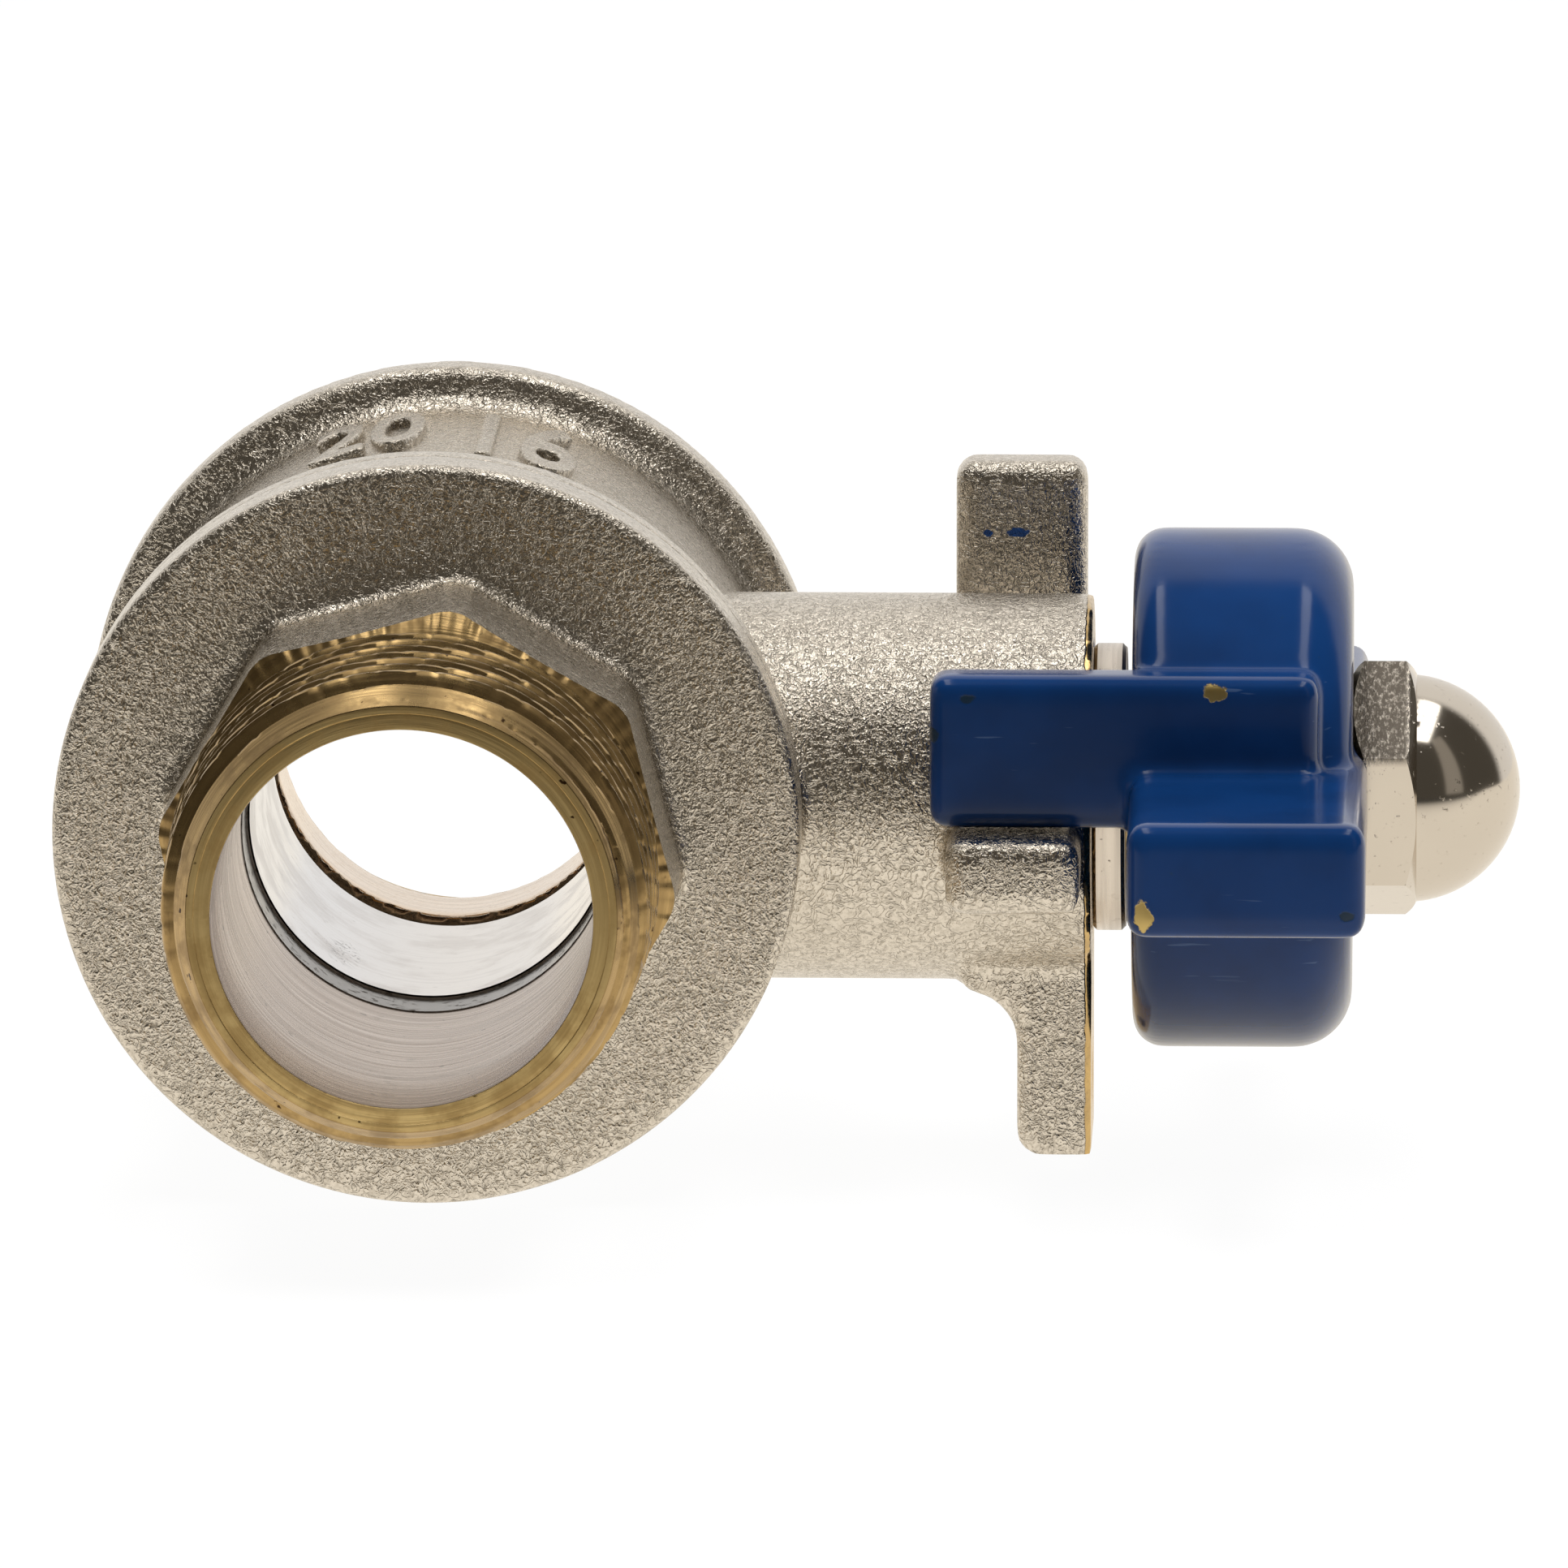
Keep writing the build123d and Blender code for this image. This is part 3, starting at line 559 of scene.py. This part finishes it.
def endAdapter():
    shape = adapterShape
    angle = np.linspace(0, 2 * math.pi, shape["around"], endpoint=False)
    rows = []

    def row(out, radius, finish):
        rows.append((-np.asarray(out), radius, finish))

    nickel, brass, bore, ring, brown = 0, 1, 2, 3, 4
    row(shape["spigotEnd"], shape["pocket"] + 0.1, brass)
    row(shape["spigotEnd"], shape["spigot"] - 0.1, brass)
    row(shape["spigotEnd"] + 0.1, shape["spigot"], brass)
    row(shape["joint"], shape["spigot"], brass)
    edge, disc = shape["jointEdge"], shape["discRadius"]
    for turn in np.linspace(0, math.pi / 2, 4):  # back edge of the disc, seen as the joint line
        row(shape["joint"] + edge * (1 - math.cos(turn)), disc - edge * (1 - math.sin(turn)),
            nickel)
    edge = shape["discEdge"]
    for turn in np.linspace(0, math.pi / 2, 7):  # rounded front edge
        row(shape["discFront"] - edge * (1 - math.sin(turn)), disc - edge * (1 - math.cos(turn)),
            nickel)
    octagon = octagonRadius(angle, shape)
    root = shape["bossRoot"]
    for share in (0.33, 0.66):
        row(shape["discFront"], disc - edge + share * (octagon + root - disc + edge), nickel)
    for turn in np.linspace(0, math.pi / 2, 8):  # concave root of the octagon
        row(shape["discFront"] + root * (1 - math.cos(turn)),
            octagon + root * (1 - math.sin(turn)), nickel)
    start, front = shape["discFront"] + root, shape["bossFront"]
    ragged = 0.10 * np.sin(23 * angle) * np.sin(41 * angle + 1.0) + 0.06 * np.sin(97 * angle)
    coneDepth = (np.maximum(octagon - shape["coneRadius"], 0.05) / shape["coneSlope"]
                 + 0.6 * ragged)
    coneStart = front - coneDepth
    for share in (0.5, 0.93):
        row(start + share * (coneStart - start), octagon, nickel)
    row(coneStart, octagon - 0.02, brass)
    for share in (0.33, 0.66, 1.0):
        row(coneStart + share * coneDepth, octagon + share * (shape["coneRadius"] - octagon), brass)
    row(front + 0.10, shape["reliefRadius"] + 0.12, brass)
    row(front + 0.22, shape["reliefRadius"], brass)
    threadBack, face = shape["reliefFront"], shape["face"]
    row(threadBack - 0.35, shape["reliefRadius"], brass)
    turns = (face - threadBack) / shape["pitch"]
    for out in np.linspace(threadBack - 0.2, face - 0.02, int(turns * shape["rowsPerPitch"])):
        runIn = shape["reliefRadius"] + max(out - threadBack + 0.2, 0.0) * shape["runInSlope"]
        lead = shape["leadRadius"] + shape["leadSlope"] * (face - out)
        row(out, np.minimum(np.minimum(threadRadius(out, angle, shape), runIn), lead), brass)
    # the end face, in the lighter brass that carries painted sheen
    for share, dip in ((0.03, 0.0), (0.30, 0.0), (0.34, 0.05), (0.62, 0.0), (0.95, 0.0)):
        row(face - dip, shape["leadRadius"] + share * (shape["way"] - shape["leadRadius"]), ring)
    row(face - 0.03, shape["way"] + 0.03, bore)
    row(face - 0.15, shape["way"], bore)
    for share in (0.3, 0.6, 0.96):
        row(face + share * (shape["pocketBack"] - face), shape["way"], bore)
    # the pocket's back step, in the brown of painted shade
    row(shape["pocketBack"] + 0.12, shape["way"], brown)
    row(shape["pocketBack"], shape["way"] + 0.12, brown)
    row(shape["pocketBack"], shape["pocket"], brown)
    row(shape["spigotEnd"] + 0.1, shape["pocket"], brass)
    piece = turnedRing("endAdapter", rows, angle, [finishes[key] for key in (
        "nickel_machined_end", "thread_brass", "bore_nickel", "ring_brass", "shade_brown")])
    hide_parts("end_adapter")
    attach(piece, "valve_body")


endAdapter()
print("end adapter made")


def merged(name):
    # a copy of a CAD node's mesh with its loose triangles joined
    grid = bmesh.new()
    grid.from_mesh(nodes[name].data)
    bmesh.ops.remove_doubles(grid, verts=grid.verts, dist=2e-6)
    mesh = bpy.data.meshes.new(name + "Copy")
    grid.to_mesh(mesh)
    grid.free()
    return mesh


def pointsOf(mesh):
    points = np.empty(len(mesh.vertices) * 3)
    mesh.vertices.foreach_get("co", points)
    return points.reshape(-1, 3)


def dressed(mesh, finish):
    mesh.materials.clear()
    mesh.materials.append(finishes[finish])
    mesh.shade_smooth()


def skinned(piece, voxel):
    # the piece's mesh made again as an even closed skin of small squares
    remesh = piece.modifiers.new("even skin", "REMESH")
    remesh.mode, remesh.voxel_size = "VOXEL", voxel
    return applied(piece)


def softened(piece, smoothings, group=""):
    smooth = piece.modifiers.new("soft edges", "SMOOTH")
    smooth.factor, smooth.iterations = 0.5, smoothings
    smooth.vertex_group = group
    return applied(piece)


def applied(piece):
    graph = bpy.context.evaluated_depsgraph_get()
    mesh = bpy.data.meshes.new_from_object(piece.evaluated_get(graph))
    piece.modifiers.clear()
    piece.data = mesh
    return mesh


socketShape = {"around": 540, "floor": 22.57, "end": 34.07, "threadFront": 24.27, "minor": 12.06,
               "depth": 1.10, "pitch": 1.814, "outer": 13.60, "bodyBore": 13.45, "relief": 13.31,
               "mouth": 1.1, "crestShare": 0.22, "flankShare": 0.66, "rowsPerPitch": 14,
               "runOutSlope": 1.3}


# the machined parts lie past the two ends and inside, in mm, and are smoothed by a share only
castShape = {"voxel": 0.00044, "smoothings": 4, "frontEnd": -13.9, "rearEnd": 33.4,
             "inside": 17.5, "machinedShare": 0.25}
figureShape = {"barrel": 18.7, "raised": 0.60, "sunk": 0.60, "bold": 0.02, "voxel": 0.00013,
               "smoothings": 6, "marks": [("20", (-7.5, -1.2), (3.5, 15.0)),
                                          ("16", (1.9, 7.4), (-1.0, 14.5))]}


def raisedMark(text, across, along):
    # flat figures stretched to a box, then rolled round the barrel: x becomes the sine of the
    # angle times the radius, and the thickness becomes the radius itself
    curve = bpy.data.curves.new("mark" + text, "FONT")
    curve.body, curve.extrude, curve.offset = text, 0.5, figureShape["bold"]
    figure = linked("mark" + text, curve)
    graph = bpy.context.evaluated_depsgraph_get()
    mesh = bpy.data.meshes.new_from_object(figure.evaluated_get(graph))
    bpy.data.objects.remove(figure)
    points = pointsOf(mesh)
    low, high = points.min(axis=0), points.max(axis=0)
    share = (points - low) / (high - low)
    x = across[0] + share[:, 0] * (across[1] - across[0])
    y = along[0] + share[:, 1] * (along[1] - along[0])
    sunk, raised = figureShape["sunk"], figureShape["raised"]
    radius = figureShape["barrel"] - sunk + share[:, 2] * (sunk + raised)
    angle = np.arcsin(x / figureShape["barrel"])
    rolled = np.stack([radius * np.sin(angle), y, radius * np.cos(angle)], axis=-1) * mm
    mesh.vertices.foreach_set("co", rolled.ravel())
    return mesh


def castBody():
    # the CAD body with its socket opened out for the threaded sleeve, skinned afresh so that its
    # as-cast edges are soft and its machined ends are not
    mesh = merged("body")
    shape = socketShape
    points = pointsOf(mesh)
    radius = np.hypot(points[:, 0], points[:, 2])
    wall = (points[:, 1] > (shape["floor"] + 0.02) * mm) & (radius < shape["bodyBore"] * mm)
    grow = np.where(wall, shape["bodyBore"] * mm / np.maximum(radius, mm), 1.0)
    points[:, 0] *= grow
    points[:, 2] *= grow
    mesh.vertices.foreach_set("co", points.ravel())
    piece = linked("castBody", mesh)
    skin = skinned(piece, castShape["voxel"])
    x, y, z = pointsOf(skin).T / mm
    inside = (np.hypot(x, z) < castShape["inside"]) & (x < castShape["inside"])
    machined = (y < castShape["frontEnd"]) | (y > castShape["rearEnd"]) | inside
    group = piece.vertex_groups.new(name="cast")
    group.add(np.flatnonzero(~machined).tolist(), 1.0, "REPLACE")
    group.add(np.flatnonzero(machined).tolist(), castShape["machinedShare"], "REPLACE")
    final = softened(piece, castShape["smoothings"], "cast")
    piece.vertex_groups.clear()
    dressed(final, "nickel_casting")
    final.set_sharp_from_angle(angle=math.radians(sharpAngles["cast"]))
    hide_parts("body")
    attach(piece, "valve_body")
    print("body made with", len(final.polygons), "faces")


def barrelFigures():
    # plain raised figures on the barrel, the bore and the pressure class
    grid = bmesh.new()
    for mark in figureShape["marks"]:
        grid.from_mesh(raisedMark(*mark))
    bmesh.ops.remove_doubles(grid, verts=grid.verts, dist=2e-6)
    mesh = bpy.data.meshes.new("barrelFigures")
    grid.to_mesh(mesh)
    grid.free()
    piece = linked("barrelFigures", mesh)
    skinned(piece, figureShape["voxel"])
    final = softened(piece, figureShape["smoothings"])
    dressed(final, "nickel_casting")
    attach(piece, "valve_body")
    print("figures made with", len(final.polygons), "faces")


def socketSleeve():
    # the female thread: the wall's radius rises from the minor radius by the depth once a pitch,
    # with the phase running on with the angle, and a short cone opens it at the mouth
    shape = socketShape
    angle = np.linspace(0, 2 * math.pi, shape["around"], endpoint=False)
    floor, end, front = shape["floor"], shape["end"], shape["threadFront"]
    rows = [(floor + 0.01, shape["outer"], 0), (floor + 0.01, shape["relief"], 0),
            (front - 0.35, shape["relief"], 0)]
    turns = (end - front) / shape["pitch"]
    for out in np.linspace(front - 0.3, end - 0.02, int(turns * shape["rowsPerPitch"])):
        phase = np.mod(out / shape["pitch"] + angle / (2 * math.pi), 1.0)
        fromCrest = np.abs(2 * phase - 1)
        flank = np.clip((fromCrest - shape["crestShare"]) / shape["flankShare"], 0.0, 1.0)
        radius = shape["minor"] + shape["depth"] * flank
        runOut = shape["relief"] - max(out - front + 0.3, 0.0) * shape["runOutSlope"]
        mouth = shape["minor"] + shape["mouth"] - (end - out)
        rows.append((out, np.maximum(np.maximum(radius, runOut), mouth), 0))
    rows.append((end - 0.005, shape["outer"], 0))
    piece = turnedRing("socketSleeve", rows, angle, [finishes["socket_brass"]])
    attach(piece, "valve_body")


seatShape = {"around": 256, "bore": 10.38, "lip": 11.78, "ball": 15.56, "front": 9.20,
             "outer": 14.78, "back": 15.74}


def seatRing(name, node, side):
    # a ring with a hollow face that follows the ball: the radius is the root of ball squared less
    # distance squared, from the lip at the bore out to the front edge
    shape = seatShape
    angle = np.linspace(0, 2 * math.pi, shape["around"], endpoint=False)
    rows = [(side * shape["back"], shape["bore"], 0),
            (side * (shape["lip"] + 0.15), shape["bore"], 0),
            (side * shape["lip"], shape["bore"] + 0.12, 0)]
    for out in np.linspace(shape["lip"] - 0.12, shape["front"], 14):
        rows.append((side * out, math.sqrt(shape["ball"] ** 2 - out ** 2), 0))
    rows += [(side * shape["front"], shape["outer"], 0),
             (side * shape["back"], shape["outer"], 0)]
    piece = turnedRing(name, rows, angle, [finishes["seat_ptfe"]])
    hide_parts(node)
    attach(piece, "valve_body")


castBody()
barrelFigures()
socketSleeve()
seatRing("frontSeat", "front_seat_ring", -1)
print("body, socket and front seat made")

handleShape = {"voxel": 0.00030, "smoothings": 9}


def softHandle():
    # the CAD handle skinned afresh and smoothed, which rounds its roots and edges like thick enamel
    piece = linked("enamelledHandle", merged("handle"))
    skinned(piece, handleShape["voxel"])
    mesh = softened(piece, handleShape["smoothings"])
    dressed(mesh, "handle_blue_enamel")
    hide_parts("handle")
    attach(piece, "turning_set")
    print("handle made with", len(mesh.polygons), "faces")


softHandle()

stage = {"reach": 3.0, "front": -0.55, "white": 0.955, "diffuse": 0.055, "plain": 0.8,
         "warm": (1.0, 0.94, 0.84), "nearWhite": 1.0, "farWhite": 0.05,
         "nearY": -0.04, "farY": -0.238}
reach, front, level = stage["reach"], stage["front"], cadBox[0][2]
floorMesh = bpy.data.meshes.new("floor")
floorMesh.from_pydata([(-reach, front, level), (reach, front, level),
                       (reach, reach, level), (-reach, reach, level)], [], [(0, 1, 2, 3)])
floor = linked("floor", floorMesh)


def floorFinish():
    material = bpy.data.materials.new("pale floor")
    material.use_nodes = True
    tree = material.node_tree
    tree.nodes.clear()
    parts = apart(tree, put(tree, "TexCoord").outputs["Object"])
    # for reflections the floor is white near the valve and falls off towards the dark room
    fall = stretch(tree, parts[1], stage["farY"], stage["nearY"],
                   stage["farWhite"], stage["nearWhite"])
    path = put(tree, "LightPath").outputs
    glossy = put(tree, "Emission", {"Color": (*stage["warm"], 1.0), "Strength": fall})
    camera = put(tree, "Emission", {"Color": (1, 1, 1, 1), "Strength": stage["white"]})
    shadow = put(tree, "BsdfDiffuse", {"Color": (stage["diffuse"],) * 3 + (1.0,)})
    seen = put(tree, "AddShader", {0: camera.outputs[0], 1: shadow.outputs[0]})
    plain = put(tree, "BsdfDiffuse", {"Color": (stage["plain"],) * 3 + (1.0,)})
    unseen = put(tree, "MixShader", {0: path["Is Glossy Ray"], 1: plain.outputs[0],
                                     2: glossy.outputs[0]})
    both = put(tree, "MixShader", {0: path["Is Camera Ray"], 1: unseen.outputs[0],
                                   2: seen.outputs[0]})
    out = put(tree, "OutputMaterial")
    tree.links.new(both.outputs[0], out.inputs["Surface"])
    return material


floorMesh.materials.append(floorFinish())

sky = {"white": 1.0, "sweep": (1.0, 0.97, 0.93), "room": (0.088, 0.079, 0.066), "level": 0.90,
       "roomEnd": 0.30, "sweepStart": 0.50, "soft": 0.03,
       "boxColor": (1.0, 0.98, 0.95), "boxLight": 3.3, "boxes": [(-0.34, -0.11), (0.18, 0.43)],
       "boxFront": -0.60, "boxBack": 0.42, "boxRise": (0.1, 0.2),
       "card": (0.72, 1.05), "cardColor": (0.36, 0.33, 0.29), "cardTop": (0.84, 0.80)}


def skyFinish():
    world = bpy.data.worlds.new("studio")
    bpy.context.scene.world = world
    world.use_nodes = True
    tree = world.node_tree
    tree.nodes.clear()
    parts = apart(tree, put(tree, "TexCoord").outputs["Generated"])
    # dark room on the side of the camera and overhead, a pale card to its right, white sweep
    # behind, two softboxes above; the camera itself sees plain white
    behind = stretch(tree, parts[1], sky["roomEnd"], sky["sweepStart"])
    rise = sums(tree, "MAXIMUM", parts[2], 0.02)
    across, along = sums(tree, "DIVIDE", parts[0], rise), sums(tree, "DIVIDE", parts[1], rise)

    def between(value, start, end):
        return times(tree, stretch(tree, value, start - sky["soft"], start + sky["soft"]),
                     stretch(tree, value, end + sky["soft"], end - sky["soft"]))

    panels = sums(tree, "ADD", *[between(across, *edges) for edges in sky["boxes"]])
    panels = times(tree, panels, between(along, sky["boxFront"], sky["boxBack"]),
                   stretch(tree, parts[2], *sky["boxRise"]))
    bearing = sums(tree, "ARCTAN2", parts[0], times(tree, parts[1], -1.0))
    card = times(tree, between(bearing, *sky["card"]), stretch(tree, parts[2], *sky["cardTop"]),
                 stretch(tree, parts[2], 0.0, sky["soft"]))
    room = blend(tree, card, sky["room"], sky["cardColor"])
    glow = put(tree, "Background", {"Color": blend(tree, behind, room, sky["sweep"]),
                                    "Strength": sky["level"]})
    lit = put(tree, "Background", {"Color": (*sky["boxColor"], 1.0),
                                   "Strength": times(tree, panels, sky["boxLight"])})
    around = put(tree, "AddShader", {0: glow.outputs[0], 1: lit.outputs[0]})
    white = put(tree, "Background", {"Color": (1, 1, 1, 1), "Strength": sky["white"]})
    path = put(tree, "LightPath").outputs
    pick = put(tree, "MixShader", {0: path["Is Camera Ray"], 1: around.outputs[0],
                                   2: white.outputs[0]})
    out = put(tree, "OutputWorld")
    tree.links.new(pick.outputs[0], out.inputs["Surface"])


skyFinish()

softbox = {"size": (0.12, 0.51), "power": 1.75, "y": -0.045, "height": 0.50,
           "across": {"left softbox": -0.065, "right softbox": 0.21}}
for name, across in softbox["across"].items():
    lamp = bpy.data.lights.new(name, "AREA")
    lamp.shape = "RECTANGLE"
    lamp.size, lamp.size_y = softbox["size"]
    lamp.energy = softbox["power"]
    lampObject = bpy.data.objects.new(name, lamp)
    lampObject.location = (across, softbox["y"], softbox["height"])
    lampObject.visible_glossy = False  # the sky's own softboxes are what metal reflects
    bpy.context.scene.collection.objects.link(lampObject)
print("stage set")

viewpoint = {"azimuth": 1.75, "elevation": 9.3, "distance": 1.18, "lens": 477.9, "sensor": 36.0,
             "right": 0.01946, "up": -0.00005, "near": 0.05, "far": 20.0}


def makeCamera():
    azimuth, elevation = math.radians(viewpoint["azimuth"]), math.radians(viewpoint["elevation"])
    right = np.array([math.cos(azimuth), math.sin(azimuth), 0.0])
    ahead = np.array([-math.sin(azimuth) * math.cos(elevation),
                      math.cos(azimuth) * math.cos(elevation), -math.sin(elevation)])
    up = np.cross(right, ahead)
    place = -viewpoint["distance"] * ahead + viewpoint["right"] * right + viewpoint["up"] * up
    data = bpy.data.cameras.new("camera")
    data.lens, data.sensor_width = viewpoint["lens"], viewpoint["sensor"]
    data.clip_start, data.clip_end = viewpoint["near"], viewpoint["far"]
    camera = bpy.data.objects.new("camera", data)
    camera.location = place
    camera.rotation_euler = (math.radians(90) - elevation, 0.0, azimuth)
    bpy.context.scene.collection.objects.link(camera)
    bpy.context.scene.camera = camera


makeCamera()
bpy.context.scene.view_settings.view_transform = "Standard"

print("done")
